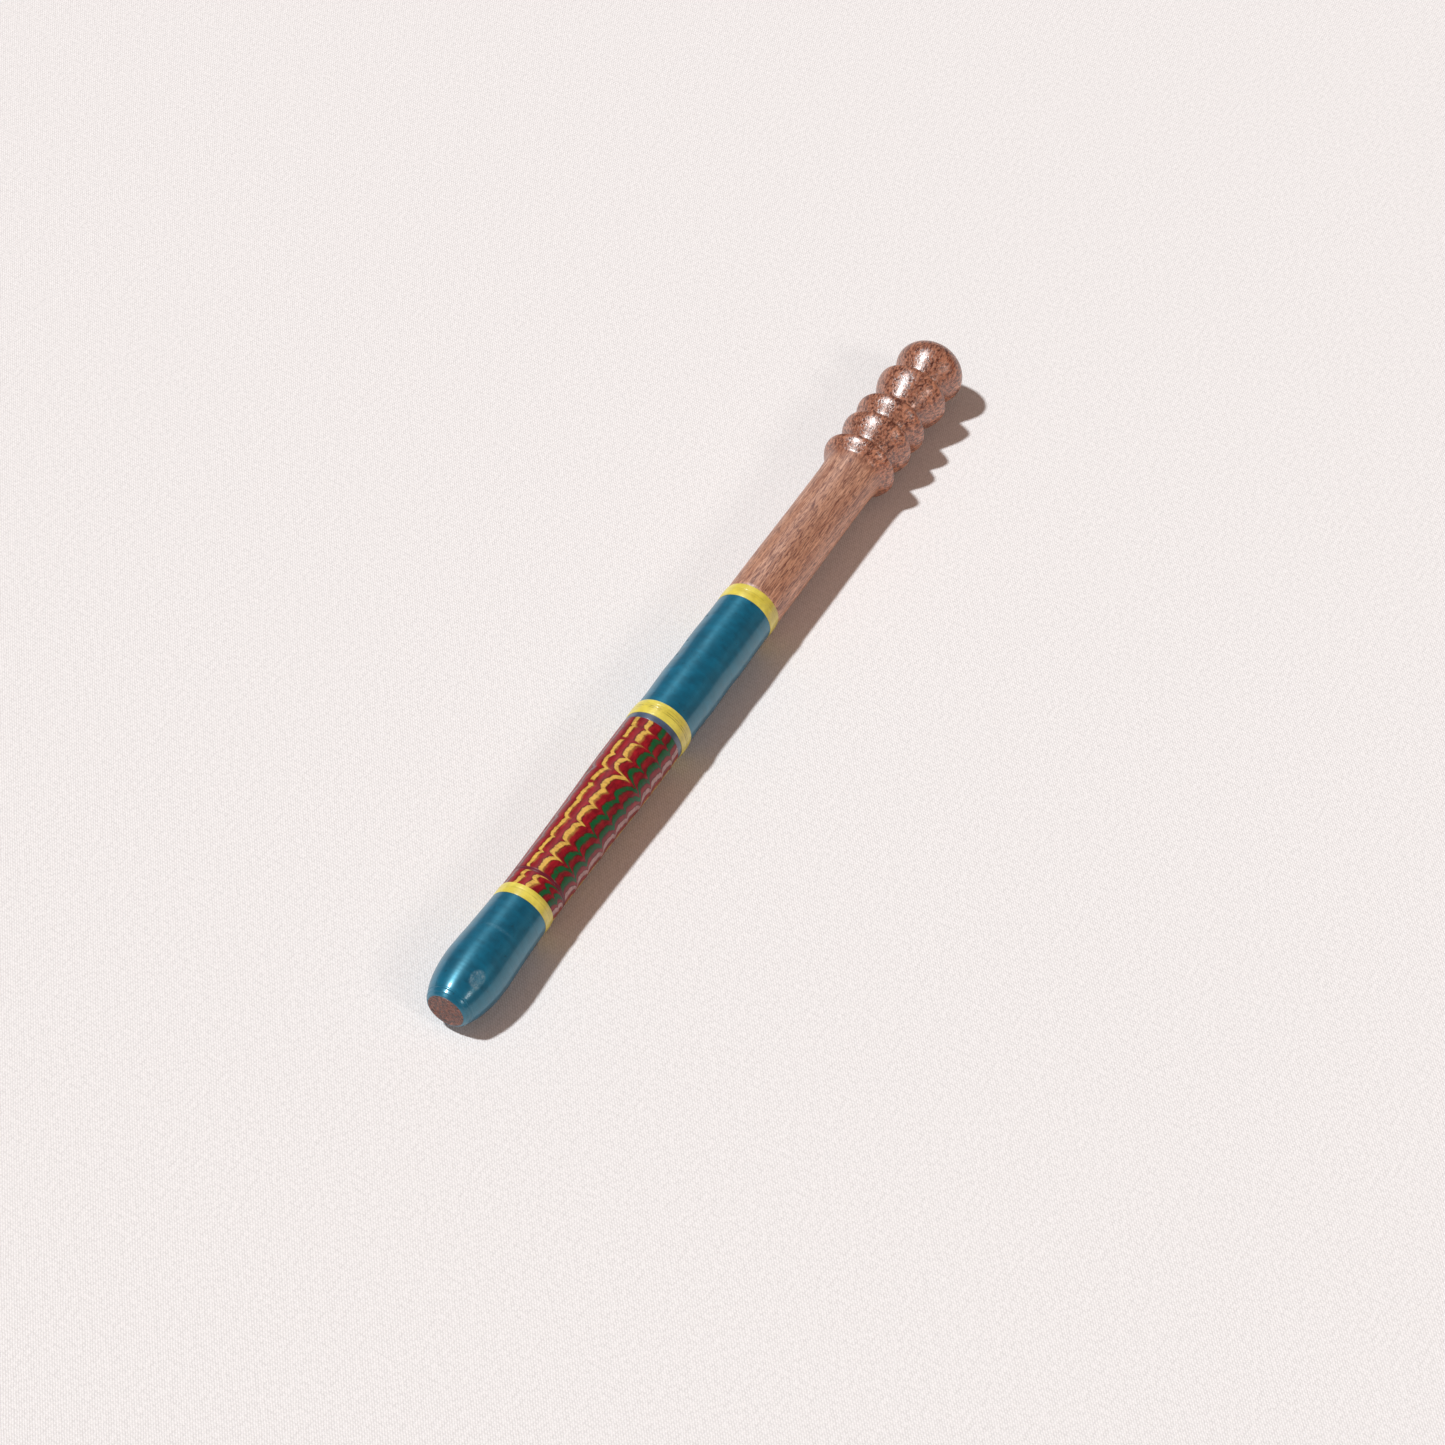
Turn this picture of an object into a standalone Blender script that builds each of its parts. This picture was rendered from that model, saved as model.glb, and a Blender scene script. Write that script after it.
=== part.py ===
"""A turned wooden guiro: a lathe-turned hardwood stick with a beaded scraping end and lac bands on its grip.

Units are metres. The stick lies along X with its sawn end at -X and its domed end at +X, and it touches Z = 0.
Stations are distances along the stick from the sawn end.
"""

import math

import bpy

# Driving dimensions
LENGTH = 0.300
FACETS = 32  # flat sides round the axis; one of them faces down, so the stick rests on a flat
LAC_THICKNESS = 0.0009
FIT_GAP = 0.0003  # between the lac and the wood, and between neighbouring bands

# The sawn end and the plain shaft
SAWN_END_RADIUS = 0.0056
SHAFT_START_RADIUS = 0.0093
SHAFT_END_RADIUS = 0.0091
SHAFT_END = 0.2325

# The scraping end: (station, radius) of each crest and of each groove, in order from the shaft to the dome
CRESTS = [(0.2441, 0.01230), (0.2559, 0.01195), (0.2651, 0.01195), (0.2798, 0.01195), (0.2916, 0.01125)]
GROOVES = [(0.2395, 0.00970), (0.2481, 0.00760), (0.2594, 0.00860), (0.2692, 0.00740), (0.2832, 0.00720)]
# A bead leans towards the dome: its long side rises in an S and its short side falls steeply
LONG_SIDE = {"steps": 7, "inner": 1.9, "outer": 1.5}
SHORT_SIDE = {"steps": 5, "inner": 1.5, "outer": 1.1}
DOME_STEPS = 8
FILLET_STEPS = 3

# Skin of each lac band as (station, radius) points from the sawn end on; neighbours share an end station
BAND_SKINS = {
    "teal_end_band": [
        (0.0004, 0.00640),
        (0.0010, 0.00672),
        (0.0012, 0.00700),
        (0.0021, 0.00726),
        (0.0024, 0.00748),
        (0.0042, 0.00830),
        (0.0068, 0.00905),
        (0.0100, 0.00955),
        (0.0135, 0.00985),
        (0.0170, 0.00996),
        (0.0205, 0.00983),
        (0.0245, 0.00957),
        (0.0290, 0.00935),
        (0.0340, 0.00915),
        (0.0389, 0.00905),
    ],
    "lower_yellow_ring": [(0.0389, 0.00905), (0.0400, 0.00918), (0.0426, 0.00915), (0.0436, 0.00903)],
    "marbled_band": [
        (0.0436, 0.00885),
        (0.0560, 0.00892),
        (0.0720, 0.00915),
        (0.0880, 0.00948),
        (0.1129, 0.00972),
    ],
    "slate_ring": [(0.1129, 0.00968), (0.1150, 0.00970)],
    "middle_yellow_ring": [(0.1150, 0.00980), (0.1160, 0.00994), (0.1195, 0.00990), (0.1205, 0.00976)],
    "long_teal_band": [
        (0.1205, 0.00958),
        (0.1280, 0.00948),
        (0.1380, 0.00952),
        (0.1480, 0.00958),
        (0.1560, 0.00956),
        (0.1640, 0.00944),
        (0.1692, 0.00940),
    ],
    "upper_yellow_ring": [(0.1692, 0.00940), (0.1700, 0.00954), (0.1740, 0.00952), (0.1750, 0.00942)],
}
BAND_COLOURS = {
    "teal_end_band": "teal_lac",
    "lower_yellow_ring": "yellow_lac",
    "marbled_band": "red_lac",
    "slate_ring": "slate_lac",
    "middle_yellow_ring": "yellow_lac",
    "long_teal_band": "teal_lac",
    "upper_yellow_ring": "yellow_lac",
}

# Material name: colour, roughness
MATERIALS = {
    "hardwood": ((0.36, 0.17, 0.10), 0.50),
    "teal_lac": ((0.010, 0.135, 0.205), 0.28),
    "yellow_lac": ((0.72, 0.58, 0.07), 0.30),
    "red_lac": ((0.30, 0.020, 0.022), 0.25),
    "slate_lac": ((0.075, 0.115, 0.170), 0.30),
}


def make_material(name):
    """A plain Principled material from the table."""
    colour, roughness = MATERIALS[name]
    material = bpy.data.materials.new(name)
    material.use_nodes = True
    shader = material.node_tree.nodes["Principled BSDF"]
    shader.inputs["Base Color"].default_value = (*colour, 1.0)
    shader.inputs["Roughness"].default_value = roughness
    shader.inputs["Metallic"].default_value = 0.0
    return material


def turned(name, profile, closed, material, axis, collection):
    """A lathe-turned solid: profile is (radius, station) points down its outer side, from the domed end on."""
    count = len(profile)
    edges = [(i, i + 1) for i in range(count - 1)]
    if closed:
        edges.append((count - 1, 0))
    mesh = bpy.data.meshes.new(name)
    mesh.from_pydata([(radius, 0.0, station) for radius, station in profile], edges, [])
    mesh.materials.append(material)
    piece = bpy.data.objects.new(name, mesh)
    collection.objects.link(piece)
    piece.parent = axis
    piece.rotation_euler = (0.0, 0.0, math.pi / FACETS)  # half a side, so that a flat side faces down
    screw = piece.modifiers.new("lathe", "SCREW")
    screw.axis = "Z"
    screw.steps = FACETS
    screw.render_steps = FACETS
    screw.use_merge_vertices = True
    screw.merge_threshold = 0.00001
    screw.use_smooth_shade = True
    return piece


def bead_side(crest, groove, curve):
    """(radius, station) points of one side of a bead, from its crest down to the groove beside it."""
    points = []
    for i in range(curve["steps"] + 1):
        share = i / curve["steps"]
        height = (1 - share ** curve["inner"]) ** curve["outer"]
        points.append((groove[1] + (crest[1] - groove[1]) * height, crest[0] + (groove[0] - crest[0]) * share))
    return points


def fillet():
    """(radius, station) points of the hollow curve that leads from the shaft up to the first bead."""
    foot_station, foot_radius = GROOVES[0]
    points = []
    for i in range(FILLET_STEPS):
        share = i / FILLET_STEPS
        station = SHAFT_END + (foot_station - SHAFT_END) * share
        points.append((SHAFT_END_RADIUS + (foot_radius - SHAFT_END_RADIUS) * share**2, station))
    return points


def dome(crest):
    """(radius, station) points of the rounded end, a quarter ellipse from the last crest to the tip."""
    points = []
    for i in range(1, DOME_STEPS):
        angle = math.pi / 2 * i / DOME_STEPS
        points.append((crest[1] * math.cos(angle), crest[0] + (LENGTH - crest[0]) * math.sin(angle)))
    return points + [(0.0, LENGTH)]


def scraping_end():
    """(radius, station) points from the shaft up over the beads to the tip of the dome."""
    points = fillet()
    for i, crest in enumerate(CRESTS):
        points += bead_side(crest, GROOVES[i], LONG_SIDE)[::-1]
        if i + 1 < len(GROOVES):
            points += bead_side(crest, GROOVES[i + 1], SHORT_SIDE)[1:-1]
    return points + dome(CRESTS[-1])


def seat():
    """(radius, station) points of the wood under the lac: the bands' skin less the lac and its gap."""
    radii = {}
    for skin in BAND_SKINS.values():
        for station, radius in skin:
            wood = max(radius - LAC_THICKNESS - FIT_GAP, SAWN_END_RADIUS)
            radii[station] = min(wood, radii.get(station, wood))  # two bands meet there: the thinner one counts
    return [(radii[station], station) for station in sorted(radii)]


def make_stick(material, axis, collection):
    """The whole piece of wood: sawn end, seat under the lac, shaft, beads and dome."""
    under_lac = seat()
    lac_end = under_lac[-1][1]
    rise = [(0.0, 0.0), (SAWN_END_RADIUS, 0.0)] + under_lac + [(SHAFT_START_RADIUS, lac_end)] + scraping_end()
    return turned("turned_stick", rise[::-1], False, material, axis, collection)


def make_band(name, material, axis, collection):
    """One band of lac: a sleeve whose bore follows its own skin, stopped half a gap short of each neighbour."""
    skin = list(BAND_SKINS[name])
    trim = FIT_GAP / 2
    skin[0] = (skin[0][0] + trim, skin[0][1])
    skin[-1] = (skin[-1][0] - trim, skin[-1][1])
    outer = [(radius, station) for station, radius in skin][::-1]
    inner = [(max(radius - LAC_THICKNESS, SAWN_END_RADIUS + FIT_GAP), station) for station, radius in skin]
    return turned(name, outer + inner, True, material, axis, collection)


def main():
    for old in list(bpy.data.objects):
        bpy.data.objects.remove(old, do_unlink=True)
    collection = bpy.data.collections.new("guiro")
    bpy.context.scene.collection.children.link(collection)

    axis = bpy.data.objects.new("stick_axis", None)
    collection.objects.link(axis)
    widest = max(radius for _, radius in CRESTS)
    axis.location = (-LENGTH / 2, 0.0, widest * math.cos(math.pi / FACETS))
    axis.rotation_euler = (0.0, math.pi / 2, 0.0)

    materials = {name: make_material(name) for name in MATERIALS}
    make_stick(materials["hardwood"], axis, collection)
    for name, colour in BAND_COLOURS.items():
        make_band(name, materials[colour], axis, collection)


main()
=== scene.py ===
"""Looks of the turned guiro stick: fine lathe-turned meshes with procedural wood and lac.

Stations are lengths along the stick in millimetres from its sawn end. Angles round it are in degrees from +Y
over the top, so 90 is straight up.
"""

import math

import bpy
import numpy as np
from mathutils import Matrix, Vector


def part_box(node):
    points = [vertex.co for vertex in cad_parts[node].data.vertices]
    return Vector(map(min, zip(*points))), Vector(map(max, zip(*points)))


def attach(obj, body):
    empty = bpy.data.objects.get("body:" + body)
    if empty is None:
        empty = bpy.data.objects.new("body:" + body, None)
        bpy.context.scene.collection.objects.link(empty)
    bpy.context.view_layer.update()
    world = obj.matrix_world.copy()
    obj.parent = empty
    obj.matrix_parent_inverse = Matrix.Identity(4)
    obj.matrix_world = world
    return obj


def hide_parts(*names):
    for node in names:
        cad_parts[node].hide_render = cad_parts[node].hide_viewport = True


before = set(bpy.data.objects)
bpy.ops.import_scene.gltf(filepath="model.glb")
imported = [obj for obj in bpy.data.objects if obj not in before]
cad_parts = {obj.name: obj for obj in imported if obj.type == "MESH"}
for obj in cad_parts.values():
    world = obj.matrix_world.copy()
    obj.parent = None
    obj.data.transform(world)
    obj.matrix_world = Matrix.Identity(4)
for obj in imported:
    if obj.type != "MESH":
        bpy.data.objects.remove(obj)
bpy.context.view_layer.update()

stick_low, stick_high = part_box("turned_stick")

MM = 0.001
LENGTH = (stick_high.x - stick_low.x) / MM
END_X = stick_low.x
AXIS_Z = (stick_low.z + stick_high.z) / 2
BODY = "root"
SEGMENTS = 224  # faces round the stick
RING_STEP = 0.24  # from one ring of the lac's skin to the next
BORE_STEP = 4.0
INSIDE = 0.032  # how far the lac's skin stays inside its curve, because it is a little out of round

# ------------------------------------------------------------------ shape of the stick
# (station, radius) points along the lac's skin, band by band; neighbours share an end station
SKINS = {
    "teal_end_band": [
        (0.4, 6.12),
        (1.2, 6.80),
        (2.4, 7.35),
        (4.2, 8.08),
        (6.8, 8.86),
        (10.0, 9.49),
        (13.5, 9.86),
        (17.0, 9.95),
        (20.5, 9.83),
        (24.5, 9.60),
        (29.0, 9.38),
        (34.0, 9.18),
        (39.1, 9.02),
    ],
    "lower_yellow_ring": [(39.1, 9.05), (40.0, 9.10), (42.2, 9.08), (43.1, 9.02)],
    "marbled_band": [
        (43.1, 8.84),
        (48.0, 8.84),
        (56.0, 8.92),
        (64.0, 9.00),
        (72.0, 9.12),
        (80.0, 9.24),
        (88.0, 9.46),
        (96.0, 9.62),
        (104.0, 9.66),
        (113.2, 9.66),
    ],
    "slate_ring": [(113.2, 9.60), (114.2, 9.62), (115.3, 9.62)],
    "middle_yellow_ring": [(115.3, 9.80), (116.2, 9.87), (119.8, 9.84), (120.8, 9.74)],
    "long_teal_band": [
        (120.8, 9.54),
        (127.0, 9.44),
        (136.0, 9.60),
        (145.0, 9.43),
        (153.0, 9.57),
        (162.0, 9.42),
        (169.4, 9.38),
    ],
    "upper_yellow_ring": [(169.4, 9.44), (170.2, 9.50), (173.8, 9.46), (174.6, 9.38)],
}
LAC_THICKNESS = 0.8
EDGE_ROUND = 0.14  # the lac's edges are rounded over this length
SHAFT = [(174.6, 9.24), (190.0, 9.26), (205.0, 9.16), (220.0, 9.08), (231.0, 9.08)]
FOOT = (239.5, 9.60)  # where the shaft's hollow curve meets the first bead
CRESTS = [(244.1, 12.23), (255.9, 11.88), (265.1, 11.88), (279.8, 11.88), (291.6, 11.20)]
GROOVES = [FOOT, (248.1, 7.60), (259.4, 8.60), (269.2, 7.40), (283.2, 7.20)]
LONG_SIDE = (1.9, 1.5)  # exponents of a bead's long side, which rises in an S
SHORT_SIDE = (1.5, 1.1)
SAWN_RADIUS = 5.75

SKIN_RIPPLES = [(0.010, 0.9), (0.018, 5.0)]  # turning marks: (height, wavelength)
SHAFT_RIPPLE = (0.015, 4.0)

# Lines scored into the lac: (station, half width, depth)
SCORED = {
    "teal_end_band": [(1.2, 0.14, 0.16), (2.4, 0.16, 0.20), (3.0, 0.07, 0.03), (35.2, 0.12, 0.012)],
    "lower_yellow_ring": [(41.6, 0.10, 0.03)],
    "marbled_band": [(49.0, 0.16, 0.05), (49.8, 0.16, 0.05), (103.7, 0.16, 0.02)],
    "middle_yellow_ring": [(117.6, 0.09, 0.07), (118.3, 0.08, 0.05), (119.3, 0.06, 0.03)],
    "upper_yellow_ring": [(172.4, 0.07, 0.03)],
}

# Small chips in the lac: (station, angle, half length, half width in mm, depth)
NICKS = {
    "marbled_band": [
        (66.6, 33, 0.9, 0.7, 0.25),
        (99.6, 27, 1.1, 0.6, 0.25),
        (90.2, 36, 0.5, 0.4, 0.15),
    ],
    "long_teal_band": [
        (142.4, 36, 0.7, 1.1, 0.25),
        (148.6, 39, 0.4, 0.7, 0.20),
        (160.2, 38, 0.5, 1.2, 0.25),
    ],
}

# Rubbed patches on the swelling: (station, angle, half length, half width in mm, strength, hollowness)
SCUFFS = [
    (9.3, 123, 3.0, 2.4, 0.9, 0.6),
    (7.4, 128, 1.2, 1.6, 0.7, 0.0),
    (26.3, 100, 0.7, 5.5, 0.15, 0.0),
]

# The comb that marbled the lac: (station, how far it pulled the colours round in degrees, width of the V)
COMB = [
    (46.2, 12, 0.6),
    (49.4, 60, 0.45),
    (56.3, 25, 0.85),
    (62.5, 18, 1.0),
    (70.4, 21, 1.0),
    (77.6, 18, 1.1),
    (84.0, 11, 1.0),
    (91.4, 31, 1.25),
    (97.2, 17, 0.55),
    (103.7, 15, 0.32),
    (109.2, 15, 0.40),
]
BEFORE, AFTER = 1.5, 0.6  # the V's two sides, as shares of its width
# How strongly it pulled at each angle round the stick
PULL = [
    (0, 0.7),
    (40, 0.3),
    (67, 0.34),
    (94, 0.52),
    (120, 0.86),
    (148, 1.05),
    (172, 0.9),
    (230, 0.7),
    (300, 0.9),
]
SAG = [(95, 0.0), (122, 2.5), (150, 2.5), (172, 0.0)]  # degrees that the streaks lie lower at each angle
RUBBED_SPOT = (85.4, 67, 0.9, 11)  # station, angle, half length, half angle
BARE_GAP = (103.7, 75, 0.75, 45)
DEEP_CUT = (49.4, 0.8)  # station, half width
FIRST_STREAK = 67.0  # angle of the first yellow streak's middle
# Colours round the stick, each with half its width as a share of the pitch
STREAKS = [
    ("yellow", 0.15),
    ("yellow", 0.16),
    ("green", 0.17),
    ("green", 0.23),
    ("cream", 0.22),
    ("yellow", 0.20),
    ("yellow", 0.24),
    ("green", 0.25),
    ("green", 0.22),
    ("cream", 0.20),
    ("yellow", 0.22),
    ("green", 0.24),
    ("green", 0.22),
    # a cream streak, greyed and darkened as a painted reflection along the stick's upper edge
    ("reflection_greyed_cream", 0.13),
]
STREAK_PITCH = 360 / len(STREAKS)  # degrees from one streak to the next


def smooth_curve(points, stations):
    """Radius at each station on a smooth curve through the (station, radius) points."""
    at, radius = np.array(points, float).T
    slope = np.gradient(radius, at)
    i = np.clip(np.searchsorted(at, stations) - 1, 0, len(at) - 2)
    span = at[i + 1] - at[i]
    t = (stations - at[i]) / span
    rise = (2 * t**3 - 3 * t**2 + 1) * radius[i] + (3 * t**2 - 2 * t**3) * radius[i + 1]
    return rise + (t**3 - 2 * t**2 + t) * span * slope[i] + (t**3 - t**2) * span * slope[i + 1]


def ripple(stations, wavelength, seed):
    """Smooth random waves between -1 and 1 along the stick, with about one wave per wavelength."""
    random = np.random.default_rng(seed)
    knots = np.arange(stations.min() - 2 * wavelength, stations.max() + 3 * wavelength, wavelength / 2)
    return np.interp(stations, knots, random.uniform(-1, 1, len(knots)))


def bead_side(crest, groove, exponents, count):
    """Stations and radii from a bead's crest down to the groove beside it."""
    share = np.linspace(0, 1, count)
    height = (1 - share ** exponents[0]) ** exponents[1]
    return crest[0] + (groove[0] - crest[0]) * share, groove[1] + (crest[1] - groove[1]) * height


# ------------------------------------------------------------------ meshes
def turned_mesh(name, stations, radii, loop):
    """A turned piece. Stations and radii have a row for each ring, and one column or one per angle."""
    rings = len(stations)
    angles = np.linspace(0, 2 * math.pi, SEGMENTS, endpoint=False)
    shape = (rings, SEGMENTS)
    x = END_X + MM * np.broadcast_to(np.asarray(stations, float).reshape(rings, -1), shape)
    out = MM * np.broadcast_to(np.asarray(radii, float).reshape(rings, -1), shape)
    points = np.stack([x, out * np.cos(angles), AXIS_Z + out * np.sin(angles)], -1)

    here = np.arange(SEGMENTS)
    after = np.roll(here, -1)
    faces = []
    for ring in range(rings if loop else rings - 1):
        low, high = ring * SEGMENTS, (ring + 1) % rings * SEGMENTS
        faces += np.stack([low + here, high + here, high + after, low + after], -1).tolist()
    if not loop:
        faces.append(here.tolist())
        faces.append(((rings - 1) * SEGMENTS + here[::-1]).tolist())
    mesh = bpy.data.meshes.new(name)
    mesh.from_pydata(points.reshape(-1, 3).tolist(), [], faces)
    mesh.shade_smooth()
    mesh.set_sharp_from_angle(angle=math.radians(50))
    piece = bpy.data.objects.new(name, mesh)
    bpy.context.scene.collection.objects.link(piece)
    return piece


def add_field(piece, name, values):
    """Stores one number for each vertex, ring by ring, for the material to read."""
    field = piece.data.attributes.new(name, "FLOAT", "POINT")
    field.data.foreach_set("value", np.asarray(values, np.float32).ravel())


def ring_angles():
    return np.degrees(np.linspace(0, 2 * math.pi, SEGMENTS, endpoint=False))[None, :]


def angle_apart(a, b):
    """Signed difference of two angles in degrees, between -180 and 180."""
    return (a - b + 180) % 360 - 180


def nick_depths(band, stations, radius):
    """How deep each small chip goes at every point of a band, from 0 to 1, and in millimetres."""
    share = np.zeros((len(stations), SEGMENTS))
    depth = np.zeros_like(share)
    ragged = 0.25 * np.sin(ring_angles() * 0.9 + stations[:, None] * 3.1)
    for at, angle, half_length, half_width, deep in NICKS.get(band, []):
        across = np.radians(angle_apart(ring_angles(), angle)) * radius[:, None]
        distance = np.hypot((stations[:, None] - at) / half_length, across / half_width) + ragged
        nick = np.clip(1.6 * (1 - distance), 0, 1)
        share = np.maximum(share, nick)
        depth = np.maximum(depth, nick * deep)
    return share, depth


def scuff_field(stations, radius):
    """How rubbed the lac is at every point, from 0 to 1; a hollow patch is rubbed most at its rim."""
    rubbed = np.zeros((len(stations), SEGMENTS))
    for at, angle, half_length, half_width, strength, hollow in SCUFFS:
        across = np.radians(angle_apart(ring_angles(), angle)) * radius[:, None]
        distance = np.hypot((stations[:, None] - at) / half_length, across / half_width)
        patch = strength * np.clip(2.5 * (1 - distance), 0, 1)
        patch *= 1 - hollow * np.clip(2.5 * (0.75 - distance), 0, 1)
        rubbed = np.maximum(rubbed, patch)
    return rubbed


def skin_radii(band, stations):
    """Radius of a band's skin: its smooth curve, turning marks, rounded ends and scored lines."""
    start, end = stations[0], stations[-1]
    seed = sorted(SKINS).index(band)
    radius = smooth_curve(SKINS[band], stations)
    for i, (height, wavelength) in enumerate(SKIN_RIPPLES):
        radius += height * ripple(stations, wavelength, seed + 20 * i)
    from_end = np.minimum(stations - start, end - stations)
    round_over = np.clip(1 - from_end / EDGE_ROUND, 0, 1)
    radius -= EDGE_ROUND * (1 - np.sqrt(1 - 0.96 * round_over**2))
    for at, half_width, depth in SCORED.get(band, []):
        radius -= depth * np.clip(1 - ((stations - at) / half_width) ** 2, 0, 1)
    return radius


def ring_stations(band):
    """Where the rings of a band's skin lie: evenly, but closer at its edges and its scored lines."""
    start, end = SKINS[band][0][0], SKINS[band][-1][0]
    edge = np.array([0.0, 0.03, 0.07, 0.11, EDGE_ROUND])
    even = np.arange(start + EDGE_ROUND + RING_STEP, end - EDGE_ROUND - RING_STEP / 2, RING_STEP)
    across = (-1, -0.6, -0.3, 0, 0.3, 0.6, 1)
    lines = [at + half * share for at, half, _ in SCORED.get(band, []) for share in across]
    stations = np.unique(np.round(np.concatenate([start + edge, even, lines, end - edge]), 4))
    return stations[(stations >= start) & (stations <= end)]


def make_band(band):
    """A band of lac: a fine skin over a plain bore, replacing its CAD sleeve."""
    start, end = SKINS[band][0][0], SKINS[band][-1][0]
    stations = ring_stations(band)
    radius = skin_radii(band, stations)
    share, depth = nick_depths(band, stations, radius)
    angles = np.radians(ring_angles())
    out_of_round = 0.02 * np.sin(2 * angles + stations[:, None] * 0.05)
    out_of_round += 0.012 * np.sin(5 * angles + 1.3)
    skin = radius[:, None] - depth + out_of_round - INSIDE

    middle = np.arange(end - BORE_STEP, start + 0.75 * BORE_STEP, -BORE_STEP)
    bore_stations = np.concatenate([[end], middle, [start]])
    bore = smooth_curve(SKINS[band], bore_stations) - LAC_THICKNESS
    all_stations = np.concatenate([stations, bore_stations])
    all_radii = np.concatenate([skin, np.repeat(bore[:, None], SEGMENTS, axis=1)])
    piece = turned_mesh(band + "_lac", all_stations, all_radii, loop=True)
    add_field(piece, "nick", np.concatenate([share, np.zeros((len(bore), SEGMENTS))]))
    if band == "teal_end_band":
        add_field(piece, "scuff", scuff_field(all_stations, all_radii[:, 0]))
    if band == "marbled_band":
        for field, values in zip(("streak", "bare", "cut"), comb_fields(all_stations)):
            add_field(piece, field, values)
    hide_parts(band)
    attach(piece, BODY)
    return piece


def comb_fields(stations):
    """For each vertex: its place in the row of combed streaks, how bare of them it is, and how cut."""
    angles = ring_angles()
    at, strength = np.array(PULL, float).T
    strength = np.interp(angles, at, strength, period=360)
    pulled = np.zeros((len(stations), 1))
    for station, pull, width in COMB:
        past = stations[:, None] - station
        reach = width * np.where(past < 0, BEFORE, AFTER)
        pulled = pulled + pull * np.exp(-np.abs(past) / reach)
    drift = 1.2 * np.sin(stations[:, None] * 0.31) + 0.8 * np.sin(stations[:, None] * 0.83 + angles / 40)
    sag = np.interp(angles, *np.array(SAG).T)
    original = angles - pulled * strength - drift - sag - FIRST_STREAK
    streak = original / STREAK_PITCH + 0.5
    bare = np.zeros_like(streak)
    for at, angle, half_length, half_angle in (RUBBED_SPOT, BARE_GAP):
        away = np.hypot((stations[:, None] - at) / half_length, angle_apart(angles, angle) / half_angle)
        bare = np.maximum(bare, np.clip(2.2 * (1 - away), 0, 1))
    at, half_width = DEEP_CUT
    cut = np.clip(2.2 * (1 - np.abs(stations[:, None] - at) / half_width), 0, 1)
    return streak, np.maximum(bare, cut), np.broadcast_to(cut, streak.shape)


def sawn_face():
    """Stations and radii of the rings of the sawn end, roughened by its fibres."""
    random = np.random.default_rng(5)
    face_rings = 26
    radii = np.linspace(0.05, SAWN_RADIUS - 0.12, face_rings)[:, None]
    angles = np.radians(ring_angles())
    fibres = np.zeros((face_rings, SEGMENTS))
    across, up = radii * np.cos(angles), radii * np.sin(angles)
    for _ in range(90):
        way = random.uniform(0, math.pi)
        pitch = random.uniform(0.35, 1.6)
        start = random.uniform(0, 2 * math.pi)
        along = across * math.cos(way) + up * math.sin(way)
        fibres += np.sin(2 * math.pi * along / pitch + start)
    fibres = fibres / np.abs(fibres).max()
    stations = 0.20 + 0.20 * fibres + 0.10 * (radii / SAWN_RADIUS) ** 4
    return stations, np.repeat(radii, SEGMENTS, axis=1)


def core_profile():
    """Stations and radii of the wood under the lac, just short of its bore."""
    points = [(0.34, SAWN_RADIUS), (0.9, SAWN_RADIUS)]
    for skin in SKINS.values():
        points += [(at, radius - LAC_THICKNESS - 0.04) for at, radius in skin[:-1] if at > 2]
    last_radius = SKINS["upper_yellow_ring"][-1][1]
    return np.array(points + [(174.3, last_radius - LAC_THICKNESS - 0.05)]).T


def shaft_profile():
    """Stations and radii of the plain shaft and the hollow curve that leads up to the first bead."""
    height, wavelength = SHAFT_RIPPLE
    plain = np.linspace(SHAFT[0][0], SHAFT[-1][0], 90)
    radii = smooth_curve(SHAFT, plain) + height * ripple(plain, wavelength, 3)
    radii[0] -= 0.5  # tucked in behind the lac's edge
    rise = np.linspace(0, 1, 16)[1:-1]
    hollow = SHAFT[-1][0] + (FOOT[0] - SHAFT[-1][0]) * rise
    hollow_radii = SHAFT[-1][1] + (FOOT[1] - SHAFT[-1][1]) * rise**2.2
    return np.concatenate([plain, hollow]), np.concatenate([radii, hollow_radii])


def make_stick():
    """The one piece of wood: sawn end, core under the lac, shaft, beads and dome."""
    stations, radii = [list(pair) for pair in zip(core_profile(), shaft_profile())]
    for i, crest in enumerate(CRESTS):
        near = bead_side(crest, GROOVES[i], LONG_SIDE, 26)
        stations.append(near[0][::-1])
        radii.append(near[1][::-1])
        if i + 1 < len(GROOVES):
            far = bead_side(crest, GROOVES[i + 1], SHORT_SIDE, 16)
            stations.append(far[0][1:-1])
            radii.append(far[1][1:-1])
    turn = np.linspace(0, math.pi / 2, 34)[1:-1]
    stations.append(CRESTS[-1][0] + (LENGTH - CRESTS[-1][0]) * np.sin(turn))
    radii.append(CRESTS[-1][1] * np.cos(turn))
    side_stations = np.repeat(np.concatenate(stations)[:, None], SEGMENTS, axis=1)
    angles = np.radians(ring_angles())
    out_of_round = 0.015 * np.sin(3 * angles + side_stations * 0.11) - 0.015
    side_radii = np.concatenate(radii)[:, None] + out_of_round

    ring = np.ones((1, SEGMENTS))
    face_stations, face_radii = sawn_face()
    chamfer = ring * (SAWN_RADIUS - 0.03) + 0.05 * np.sin(9 * angles) * np.sin(2 * angles + 1)
    all_stations = np.concatenate([face_stations, ring * 0.30, side_stations, ring * LENGTH])
    all_radii = np.concatenate([face_radii, chamfer, side_radii, ring * 0.02])
    piece = turned_mesh("wooden_stick", all_stations, all_radii, loop=False)
    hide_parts("turned_stick")
    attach(piece, BODY)
    return piece


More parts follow.
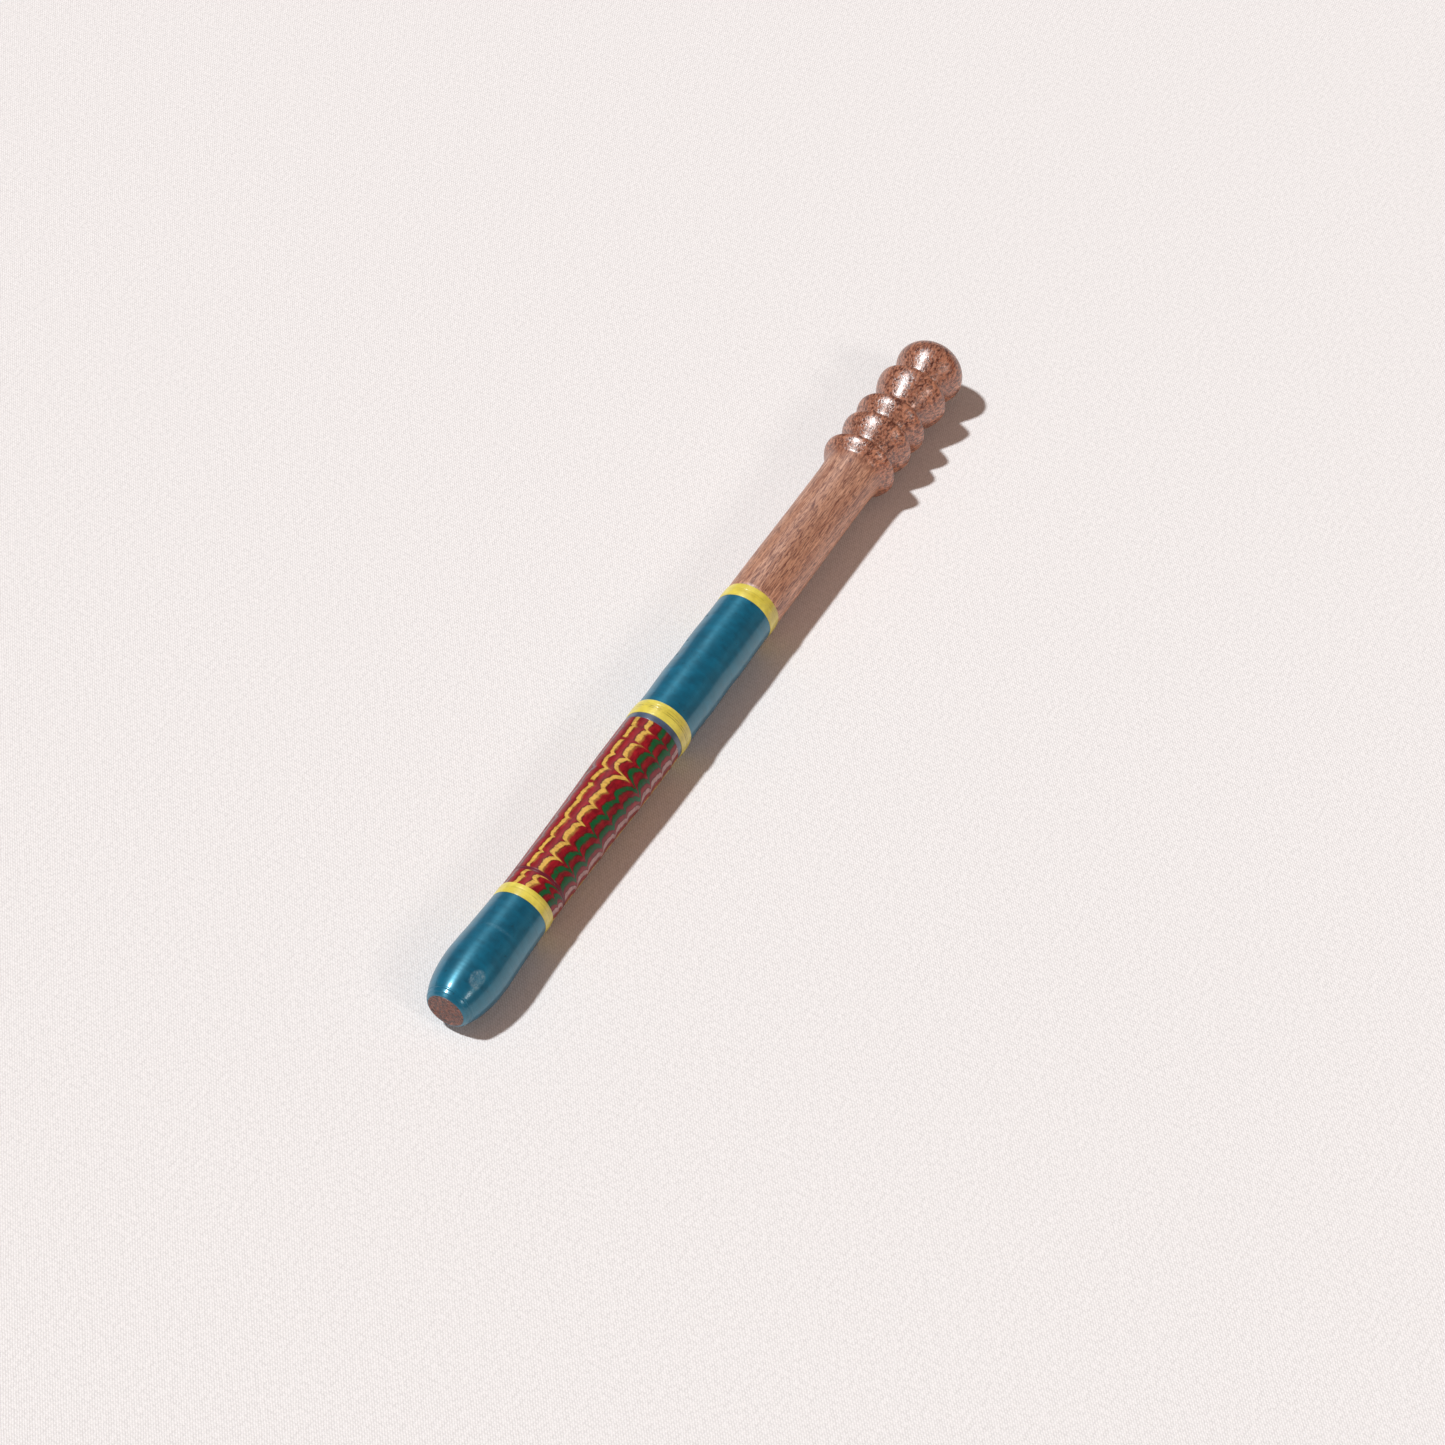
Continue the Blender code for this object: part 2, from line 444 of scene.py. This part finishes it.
# ------------------------------------------------------------------ materials
class Shader:
    """A small helper that adds nodes to one material."""

    def __init__(self, name):
        self.material = bpy.data.materials.new(name)
        self.material.use_nodes = True
        self.tree = self.material.node_tree
        self.surface = self.tree.nodes["Principled BSDF"]
        self.place = self.add("ShaderNodeTexCoord").outputs["Object"]

    def add(self, kind, inputs=None, **settings):
        node = self.tree.nodes.new(kind)
        for key, value in settings.items():
            setattr(node, key, value)
        for key, value in (inputs or {}).items():
            self.put(node.inputs[key], value)
        return node

    def put(self, socket, value):
        if isinstance(value, bpy.types.NodeSocket):
            self.tree.links.new(value, socket)
        elif hasattr(value, "__len__") and len(value) == 3 and len(socket.default_value) == 4:
            socket.default_value = (*value, 1.0)
        else:
            socket.default_value = value

    def math(self, operation, a, b=0.0, c=0.0):
        return self.add("ShaderNodeMath", {0: a, 1: b, 2: c}, operation=operation).outputs[0]

    def stretch(self, per_mm):
        """Coordinates in millimetres times a scale for each axis; X runs along the stick."""
        scale = [value / MM for value in per_mm]
        return self.add("ShaderNodeMapping", {"Vector": self.place, "Scale": scale}).outputs[0]

    def noise(self, per_mm, detail=2.0, roughness=0.5, distortion=0.0):
        inputs = {"Vector": self.stretch(per_mm), "Scale": 1.0, "Detail": detail}
        inputs.update({"Roughness": roughness, "Distortion": distortion})
        return self.add("ShaderNodeTexNoise", inputs).outputs["Fac"]

    def ramp(self, factor, stops, interpolation="LINEAR"):
        """A colour ramp; each stop is (place, grey value) or (place, colour)."""
        node = self.add("ShaderNodeValToRGB", {"Fac": factor})
        node.color_ramp.interpolation = interpolation
        elements = node.color_ramp.elements
        while len(elements) > 1:
            elements.remove(elements[-1])
        for i, (at, value) in enumerate(stops):
            element = elements[0] if i == 0 else elements.new(at)
            element.position = at
            colour = value if hasattr(value, "__len__") else (value, value, value)
            element.color = (*colour, 1.0)
        return node.outputs["Color"]

    def fade(self, value, start, end):
        """0 where the value is at the start, rising to 1 where it is at the end."""
        return self.add("ShaderNodeMapRange", {0: value, 1: start, 2: end}).outputs[0]

    def mix(self, factor, a, b, blend="MIX"):
        node = self.add("ShaderNodeMix", data_type="RGBA", blend_type=blend)
        colour_inputs = [socket for socket in node.inputs if socket.type == "RGBA"]
        self.put(node.inputs["Factor"], factor)
        self.put(colour_inputs[0], a)
        self.put(colour_inputs[1], b)
        return [socket for socket in node.outputs if socket.type == "RGBA"][0]

    def field(self, name):
        return self.add("ShaderNodeAttribute", attribute_name=name).outputs["Fac"]

    def bump(self, height, distance_mm, strength=1.0, normal=None):
        inputs = {"Height": height, "Distance": distance_mm * MM, "Strength": strength}
        if normal is not None:
            inputs["Normal"] = normal
        return self.add("ShaderNodeBump", inputs).outputs["Normal"]

    def finish(self, **sockets):
        for name, value in sockets.items():
            self.put(self.surface.inputs[name.replace("_", " ")], value)
        return self.material


def lac_surface(shader, colour, shine_tint=(1.0, 1.0, 1.0), shine=1.0, refraction=1.5):
    """Turned lac: fine lines round the stick spread its shine lengthwise, under a clear polish."""
    lines = shader.noise((5.5, 0.05, 0.05), detail=3.0, roughness=0.65)
    broad = shader.noise((0.9, 0.06, 0.06), detail=2.0)
    mottle = shader.noise((0.5, 0.5, 0.5), detail=4.0, roughness=0.65)
    shade = 0.43
    for pattern, weight in ((lines, 0.30), (broad, 0.26), (mottle, 0.60)):
        shade = shader.math("MULTIPLY_ADD", pattern, weight, shade)
    colour = shader.mix(1.0, colour, shade, "MULTIPLY")
    colour = shader.mix(shader.field("nick"), colour, (0.012, 0.010, 0.012))
    scratches = shader.noise((1.6, 2.0, 2.0), detail=4.0, distortion=0.5)
    scratches = shader.ramp(scratches, [(0.36, 0.15), (0.66, 1.0)])
    scuff = shader.math("MULTIPLY", shader.field("scuff"), scratches)
    colour = shader.mix(shader.math("MULTIPLY", scuff, 0.55), colour, (0.42, 0.52, 0.56))
    dull = shader.math("MULTIPLY_ADD", mottle, 0.12, 0.36)
    dull = shader.math("MULTIPLY_ADD", scuff, 0.25, dull)
    height = shader.math("MULTIPLY_ADD", lines, 0.8, shader.math("MULTIPLY", mottle, 0.5))
    normal = shader.bump(height, 0.016)
    tangent = shader.add("ShaderNodeTangent", direction_type="RADIAL", axis="X").outputs[0]
    shader.put(shader.surface.inputs["Coat Normal"], shader.bump(height, 0.010))
    return shader.finish(
        Base_Color=colour,
        Roughness=dull,
        Normal=normal,
        Tangent=tangent,
        Anisotropic=0.70,
        Anisotropic_Rotation=0.25,
        IOR=refraction,
        Specular_IOR_Level=shine,
        Specular_Tint=shine_tint,
        Coat_Weight=shine * 0.42,
        Coat_IOR=1.6,
        Coat_Roughness=0.16,
    )


def plain_lac(name, light, dark, shine_tint, refraction):
    """Lac of one colour, darker along the turning lines, with a few dark specks."""
    shader = Shader(name)
    blotch = shader.noise((0.25, 0.12, 0.12), detail=5.0, roughness=0.65)
    colour = shader.mix(shader.ramp(blotch, [(0.35, 0.0), (0.68, 1.0)]), dark, light)
    speck = shader.ramp(shader.noise((1.1, 0.9, 0.9), detail=3.0), [(0.26, 0.75), (0.34, 0.0)])
    colour = shader.mix(speck, colour, (0.004, 0.035, 0.055))
    return lac_surface(shader, colour, shine_tint, refraction=refraction)


def scribed_lac(name, light, dark, line_colour, stations):
    """Yellow lac with broken, darker scribed lines at some stations."""
    shader = Shader(name)
    blotch = shader.noise((0.3, 0.10, 0.10), detail=3.0)
    colour = shader.mix(shader.ramp(blotch, [(0.3, 0.0), (0.7, 1.0)]), dark, light)
    x = shader.add("ShaderNodeSeparateXYZ", {0: shader.place}).outputs[0]
    broken = shader.ramp(shader.noise((0.6, 0.45, 0.45), detail=3.0), [(0.42, 0.0), (0.60, 1.0)])
    marks = 0.0
    for station, half_width, strength in stations:
        away = shader.math("ABSOLUTE", shader.math("SUBTRACT", x, END_X + station * MM))
        mark = shader.math("SUBTRACT", 1.0, shader.math("DIVIDE", away, half_width * MM))
        mark = shader.math("MULTIPLY", shader.math("MAXIMUM", mark, 0.0), strength)
        marks = mark if marks == 0.0 else shader.math("ADD", marks, mark)
    marks = shader.math("MINIMUM", shader.math("MULTIPLY", marks, broken), 1.0)
    colour = shader.mix(marks, colour, line_colour)
    return lac_surface(shader, colour, (1.0, 1.0, 0.9))


def marbled_lac():
    """Red lac with combed streaks, read from the streak field on the mesh."""
    colours = {
        "yellow": (0.67, 0.41, 0.080),
        "green": (0.001, 0.105, 0.030),
        "cream": (0.44, 0.25, 0.24),
        # this cream is greyed and darkened as a painted reflection along the upper edge
        "reflection_greyed_cream": (0.24, 0.15, 0.16),
    }
    shader = Shader("marbled_lac")
    wander = shader.noise((0.55, 0.35, 0.35), detail=4.0, roughness=0.65)
    wander = shader.math("MULTIPLY_ADD", wander, 0.40, -0.20)
    streak = shader.math("ADD", shader.field("streak"), wander)
    place = shader.math("FRACT", shader.math("DIVIDE", streak, float(len(STREAKS))))
    starts = [i / len(STREAKS) for i in range(len(STREAKS))]
    tints = [(start, colours[name]) for start, (name, _) in zip(starts, STREAKS)]
    tint = shader.ramp(place, tints, "CONSTANT")
    widths = [(start, width) for start, (_, width) in zip(starts, STREAKS)]
    swell = shader.math("MULTIPLY_ADD", shader.noise((0.45, 0.10, 0.10), detail=2.0), 0.9, 0.55)
    half_width = shader.math("MULTIPLY", shader.ramp(place, widths, "CONSTANT"), swell)

    side = shader.math("SUBTRACT", shader.math("FRACT", streak), 0.5)
    outside = shader.math("SUBTRACT", shader.math("ABSOLUTE", side), half_width)
    mask = shader.fade(outside, 0.045, -0.035)
    outline = shader.ramp(outside, [(0.0, 0.32), (0.05, 0.40), (0.10, 0.88), (0.16, 1.0)])
    cloudy = shader.noise((0.35, 0.8, 0.8), detail=4.0, roughness=0.65)
    cloudy = shader.ramp(cloudy, [(0.3, 0.0), (0.7, 1.0)])
    red = shader.mix(cloudy, (0.14, 0.003, 0.009), (0.35, 0.009, 0.017))
    red = shader.mix(1.0, red, outline, "MULTIPLY")
    trail = shader.fade(shader.math("SUBTRACT", side, half_width), 0.22, 0.04)
    trail = shader.math("MULTIPLY", trail, shader.math("GREATER_THAN", side, 0.0))
    patchy = shader.ramp(shader.noise((0.25, 0.15, 0.15), detail=2.0), [(0.45, 0.0), (0.62, 0.42)])
    red = shader.mix(shader.math("MULTIPLY", trail, patchy), red, tint)
    red = shader.mix(shader.field("bare"), red, (0.24, 0.006, 0.014))
    red = shader.mix(shader.field("cut"), red, (0.13, 0.010, 0.024))
    bare = shader.math("SUBTRACT", 1.0, shader.field("bare"))
    thin = shader.noise((1.4, 0.40, 0.40), detail=4.0, roughness=0.7)
    thin = shader.ramp(thin, [(0.30, 0.45), (0.52, 1.0)])
    cover = shader.math("MULTIPLY", shader.math("MULTIPLY", mask, bare), thin)
    return lac_surface(shader, shader.mix(cover, red, tint), shine=0.35)


def wood():
    """Turned hardwood with dark pores: matt and pinkish on the shaft, darker and polished on the beads."""
    shader = Shader("hardwood")
    place = shader.add("ShaderNodeSeparateXYZ", {0: shader.place}).outputs
    polished = shader.fade(place["X"], END_X + 236.0 * MM, END_X + 241.0 * MM)
    sawn = shader.fade(place["X"], END_X + 0.9 * MM, END_X + 0.6 * MM)
    # painted bounce light: the wood turns paler towards -Y, the side facing away from the key light
    painted_bounce_side = shader.fade(place["Y"], -4.0 * MM, -10.0 * MM)

    fibre = shader.noise((0.11, 1.3, 1.3), detail=5.0, roughness=0.70, distortion=0.3)
    pores = shader.noise((0.24, 2.5, 2.5), detail=4.0, roughness=0.65, distortion=0.2)
    flecks = shader.noise((0.75, 1.25, 1.25), detail=4.0, roughness=0.7, distortion=0.5)
    broad = shader.noise((0.02, 0.16, 0.16), detail=2.0)
    pore = shader.ramp(pores, [(0.38, 1.0), (0.50, 0.0)])
    fleck = shader.ramp(flecks, [(0.42, 1.0), (0.54, 0.0)])
    hairline = shader.ramp(shader.noise((0.40, 3.2, 3.2), detail=3.0), [(0.36, 1.0), (0.44, 0.0)])
    grain = shader.ramp(fibre, [(0.34, 0.0), (0.64, 1.0)])

    shaft = shader.mix(grain, (0.29, 0.112, 0.066), (0.66, 0.370, 0.248))
    shaft = shader.mix(shader.ramp(broad, [(0.40, 0.0), (0.65, 0.5)]), shaft, (0.46, 0.21, 0.115))
    shaft = shader.mix(shader.math("MULTIPLY", pore, 0.85), shaft, (0.12, 0.026, 0.016))
    shaft = shader.mix(shader.math("MULTIPLY", hairline, 0.80), shaft, (0.09, 0.020, 0.013))
    bead = shader.mix(grain, (0.21, 0.064, 0.036), (0.54, 0.245, 0.150))
    bead = shader.mix(shader.math("MULTIPLY", fleck, 0.88), bead, (0.050, 0.009, 0.006))
    colour = shader.mix(polished, shaft, bead)
    # the colour of that painted bounce light, mixed in on the -Y side
    pale = shader.mix(1.0, colour, (1.50, 1.42, 1.28), "MULTIPLY")
    colour = shader.mix(painted_bounce_side, colour, pale)
    end_grain = shader.noise((0.5, 0.95, 0.95), detail=5.0, roughness=0.8)
    dark, middle, light = (0.018, 0.004, 0.002), (0.12, 0.028, 0.013), (0.33, 0.100, 0.050)
    end_grain = shader.ramp(end_grain, [(0.40, dark), (0.50, middle), (0.62, light)])
    colour = shader.mix(sawn, colour, end_grain)

    dull = shader.math("MULTIPLY_ADD", polished, -0.19, 0.42)
    dull = shader.math("MULTIPLY_ADD", fibre, 0.10, dull)
    pits = shader.mix(polished, pore, fleck)
    height = shader.math("SUBTRACT", shader.math("MULTIPLY", fibre, 0.5), pits)
    tangent = shader.add("ShaderNodeTangent", direction_type="RADIAL", axis="X").outputs[0]
    return shader.finish(
        Base_Color=colour,
        Roughness=dull,
        Normal=shader.bump(height, 0.035, 0.6),
        Tangent=tangent,
        Anisotropic=0.55,
        Anisotropic_Rotation=0.25,
        Specular_IOR_Level=1.0,
        IOR=1.6,
    )


# The cloth's two sets of threads: (pitch in mm, direction across them, how far they stand out)
THREADS = [(0.666, (0.603, -0.798), 0.45), (0.624, (0.798, 0.603), 0.15)]


def canvas():
    """Plain pale cloth for the floor: threads that cross over and under each other."""
    shader = Shader("pale_cloth")
    waver = shader.noise((0.25, 0.25, 0.25), detail=2.0)
    weave = 1.0
    ridges = 0.0
    for pitch, way, ridge in THREADS:
        step = (*[value * math.pi / (pitch * MM) for value in way], 0.0)
        inputs = {0: shader.place, 1: step}
        across = shader.add("ShaderNodeVectorMath", inputs, operation="DOT_PRODUCT")
        phase = shader.math("MULTIPLY_ADD", waver, 2.6, across.outputs["Value"])
        thread = shader.math("SINE", phase)
        weave = shader.math("MULTIPLY", thread, weave)
        ridges = shader.math("MULTIPLY_ADD", shader.math("MULTIPLY", thread, thread), ridge, ridges)
    slub = shader.noise((0.8, 0.8, 0.8), detail=2.0)
    height = shader.math("MULTIPLY_ADD", weave, 0.30, slub)
    height = shader.math("SUBTRACT", shader.math("ADD", height, ridges), 0.30)
    # painted shade: the cloth is darker where its threads dip, on top of the slubs' own random tone
    dark, middle, light = (0.70, 0.69, 0.69), (0.81, 0.80, 0.80), (0.88, 0.87, 0.87)
    weave_tone_and_painted_shade = shader.ramp(height, [(0.15, dark), (0.50, middle), (0.85, light)])
    normal = shader.bump(height, 0.10)
    return shader.finish(Base_Color=weave_tone_and_painted_shade, Roughness=0.95, Specular_IOR_Level=0.1, Normal=normal)


# ------------------------------------------------------------------ stage, lights and camera
FLOOR_HALF_SIZE = 6.0  # metres

# (name, direction in which its light travels, strength, angle across in degrees, colour)
LAMPS = [
    ("key_light", (0.2443, -0.4082, -0.8796), 3.2, 3.8, (0.95, 0.985, 1.0)),
    ("second_light", (0.15, 0.80, -0.57), 0.42, 12.0, (1.0, 0.92, 0.86)),
    ("soft_light", (0.5, 0.2, -0.84), 0.45, 100.0, (1.0, 0.60, 0.46)),
]
GLOW_COLOUR = (1.0, 0.62, 0.48, 1.0)
GLOW_STRENGTH = 0.10

LENS = 96.1  # millimetres, on a sensor 36 wide
SENSOR_WIDTH = 36.0
CAMERA_FROM_MIDDLE = (-0.6707, -0.3649, 0.8619)  # metres from the middle of the stick
LOOKS_ALONG = (0.5733, 0.3083, -0.7592)
PICTURE_RIGHT = (0.4890, -0.8722, 0.0151)


def make_floor():
    """The cloth touches the two places where the stick rests: its first bead and the swelling."""
    bead_station, bead_radius = CRESTS[0]
    swell_station, swell_radius = max(SKINS["teal_end_band"], key=lambda point: point[1])
    slope = (swell_radius - bead_radius) / (bead_station - swell_station)
    mesh = bpy.data.meshes.new("floor")
    half = FLOOR_HALF_SIZE
    corners = [(-half, -half, 0), (half, -half, 0), (half, half, 0), (-half, half, 0)]
    mesh.from_pydata(corners, [], [(0, 1, 2, 3)])
    floor = bpy.data.objects.new("floor", mesh)
    bpy.context.scene.collection.objects.link(floor)
    floor.location = (END_X + bead_station * MM, 0.0, AXIS_Z - bead_radius * MM)
    floor.rotation_euler = (0.0, -math.atan(slope), 0.0)
    mesh.materials.append(canvas())


def make_sun(name, travels, strength, angle_degrees, colour):
    """A far lamp whose light travels along a direction."""
    lamp = bpy.data.lights.new(name, "SUN")
    lamp.energy = strength
    lamp.angle = math.radians(angle_degrees)
    lamp.color = colour
    sun = bpy.data.objects.new(name, lamp)
    sun.rotation_mode = "QUATERNION"
    sun.rotation_quaternion = Vector(travels).to_track_quat("-Z", "Y")
    bpy.context.scene.collection.objects.link(sun)
    return sun


def make_lights():
    """A hard key from behind, a weak low light from the front right, a broad soft one and a warm glow."""
    for name, travels, strength, angle, colour in LAMPS:
        sun = make_sun(name, travels, strength, angle, colour)
        sun.visible_glossy = name != "soft_light"  # that one fills the shadows without veiling the lac
    world = bpy.data.worlds.new("studio")
    world.use_nodes = True
    glow = world.node_tree.nodes["Background"]
    glow.inputs["Color"].default_value = GLOW_COLOUR
    glow.inputs["Strength"].default_value = GLOW_STRENGTH
    bpy.context.scene.world = world


def make_camera():
    """Looks down at the stick from its sawn end, with a long lens."""
    middle = Vector((END_X + LENGTH * MM / 2, 0.0, AXIS_Z))
    right = Vector(PICTURE_RIGHT).normalized()
    forward = Vector(LOOKS_ALONG).normalized()
    up = right.cross(forward).normalized()
    right = forward.cross(up).normalized()
    lens = bpy.data.cameras.new("camera")
    lens.sensor_width = SENSOR_WIDTH
    lens.lens = LENS
    lens.clip_end = 50.0
    camera = bpy.data.objects.new("camera", lens)
    turn = Matrix((right, up, -forward)).transposed().to_4x4()
    camera.matrix_world = Matrix.Translation(middle + Vector(CAMERA_FROM_MIDDLE)) @ turn
    bpy.context.scene.collection.objects.link(camera)
    bpy.context.scene.camera = camera


def main():
    make_camera()
    make_lights()
    make_floor()
    make_stick().data.materials.append(wood())

    teal = plain_lac("teal_lac", (0.001, 0.122, 0.215), (0.001, 0.074, 0.135), (0.30, 0.80, 1.0), 1.7)
    slate = plain_lac("slate_lac", (0.070, 0.115, 0.190), (0.035, 0.060, 0.110), (1.0, 1.0, 1.0), 1.5)
    yellow, shade, olive = (0.79, 0.69, 0.110), (0.65, 0.53, 0.055), (0.20, 0.17, 0.020)
    rings = {
        "lower_yellow_ring": [(41.3, 0.35, 0.35)],
        "middle_yellow_ring": [(117.6, 0.22, 0.8), (118.3, 0.20, 0.9), (119.3, 0.12, 0.5)],
        "upper_yellow_ring": [(172.4, 0.15, 0.4)],
    }
    make_band("teal_end_band").data.materials.append(teal)
    make_band("long_teal_band").data.materials.append(teal)
    make_band("slate_ring").data.materials.append(slate)
    make_band("marbled_band").data.materials.append(marbled_lac())
    for band, lines in rings.items():
        material = scribed_lac(band + "_lac", yellow, shade, olive, lines)
        make_band(band).data.materials.append(material)


main()
bpy.context.scene.view_settings.view_transform = "Standard"
